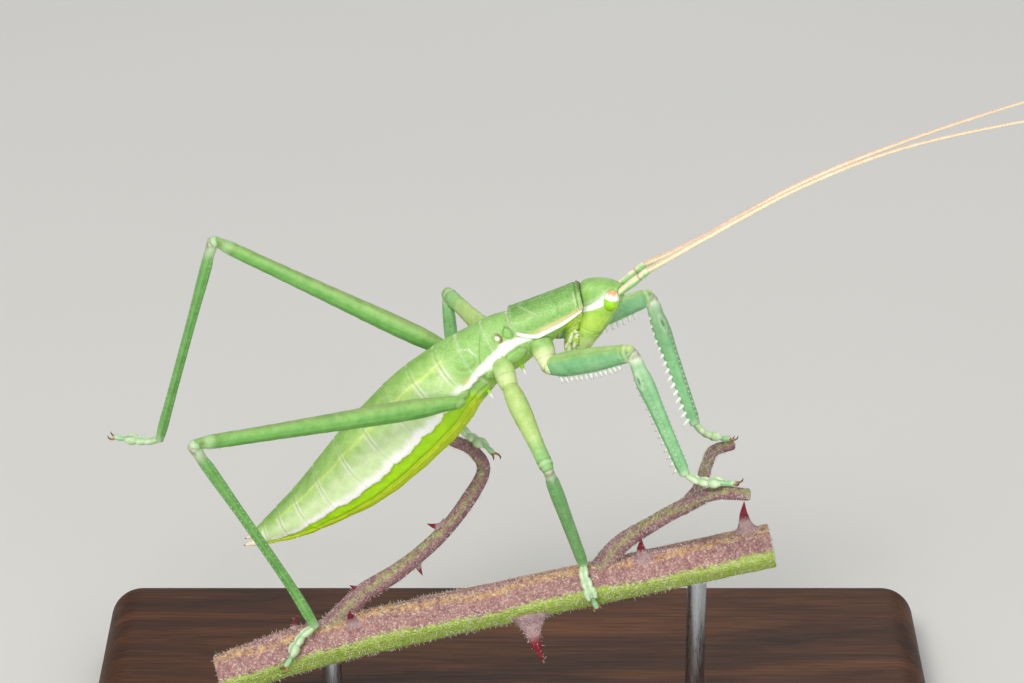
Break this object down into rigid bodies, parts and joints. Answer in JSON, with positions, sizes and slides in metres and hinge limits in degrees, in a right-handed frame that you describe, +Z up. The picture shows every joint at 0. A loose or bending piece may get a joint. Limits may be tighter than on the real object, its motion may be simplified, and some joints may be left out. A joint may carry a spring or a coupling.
{
  "type": "predatory bush cricket",
  "caption": "Life-size wingless long horned grasshopper walking on a cut bramble cane, held over a flat wooden base by short rods.",
  "frame": {"origin": "middle of the underside of the display base", "axes": "+Z up; +X the way the insect walks, from its tail to its head; its right side faces -Y"},
  "size_m": [0.113, 0.056, 0.0828],
  "materials": {
    "body_green": "satin, yellow-green",
    "plate_green": "satin green",
    "leg_green": "satin blue-green",
    "pale_skin": "satin pale yellow-green",
    "eye_green": "glossy",
    "cream_horn": "satin cream",
    "cane_bark": "rough, ribbed and downy",
    "stalk_bark": "rough and downy",
    "walnut": "oiled",
    "steel": "brushed"
  },
  "bodies": {
    "root": {"abdomen": "body_green", "antenna_joint_left": "cream_horn", "antenna_joint_right": "cream_horn", "antenna_left": "cream_horn", "antenna_right": "cream_horn", "cane": "cane_bark", "cercus_left": "cream_horn", "cercus_right": "cream_horn", "coxa_front_left": "pale_skin", "coxa_front_right": "pale_skin", "coxa_hind_left": "pale_skin", "coxa_hind_right": "pale_skin", "coxa_mid_left": "pale_skin", "coxa_mid_right": "pale_skin", "eye_left": "eye_green", "eye_right": "eye_green", "femur_front_left": "leg_green", "femur_front_right": "leg_green", "femur_hind_left": "leg_green", "femur_hind_right": "leg_green", "femur_mid_left": "leg_green", "femur_mid_right": "leg_green", "head": "body_green", "leaf_stalk_fork": "stalk_bark", "leaf_stalk_front": "stalk_bark", "leaf_stalk_hind": "stalk_bark", "mesothorax": "body_green", "metathorax": "body_green", "mouthparts": "pale_skin", "neck": "pale_skin", "pronotum": "plate_green", "prothorax": "pale_skin", "stand_base": "walnut", "stand_rod_front": "steel", "stand_rod_hind": "steel", "tarsus_front_left": "leg_green", "tarsus_front_right": "leg_green", "tarsus_hind_left": "leg_green", "tarsus_hind_right": "leg_green", "tarsus_mid_left": "leg_green", "tarsus_mid_right": "leg_green", "tibia_front_left": "leg_green", "tibia_front_right": "leg_green", "tibia_hind_left": "leg_green", "tibia_hind_right": "leg_green", "tibia_mid_left": "leg_green", "tibia_mid_right": "leg_green"}
  },
  "joints": []
}
